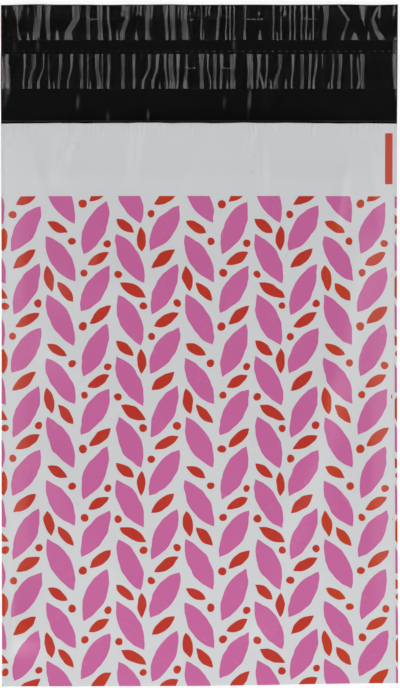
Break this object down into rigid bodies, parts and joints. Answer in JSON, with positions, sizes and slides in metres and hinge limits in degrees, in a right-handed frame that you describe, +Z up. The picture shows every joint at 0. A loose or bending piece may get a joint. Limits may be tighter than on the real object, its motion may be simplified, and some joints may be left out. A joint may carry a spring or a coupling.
{
  "type": "poly mailer bag",
  "caption": "Flat film mailing pouch, folded at the bottom and side-welded, lying empty with its self-seal flap open, tear line and covered glue stripes.",
  "frame": {"origin": "centre of the bag's bounding box on the surface it lies on", "axes": "+X along the mouth, +Y from the bottom fold to the flap's free edge, +Z up out of the front panel"},
  "size_m": [0.24, 0.4132, 0.009],
  "materials": {
    "film": "satin",
    "adhesive": "gloss",
    "release_liner": "gloss"
  },
  "bodies": {
    "root": {"pouch_film": "film", "ship_adhesive": "adhesive", "return_adhesive": "adhesive", "ship_liner": "release_liner", "return_liner": "release_liner"}
  },
  "joints": []
}
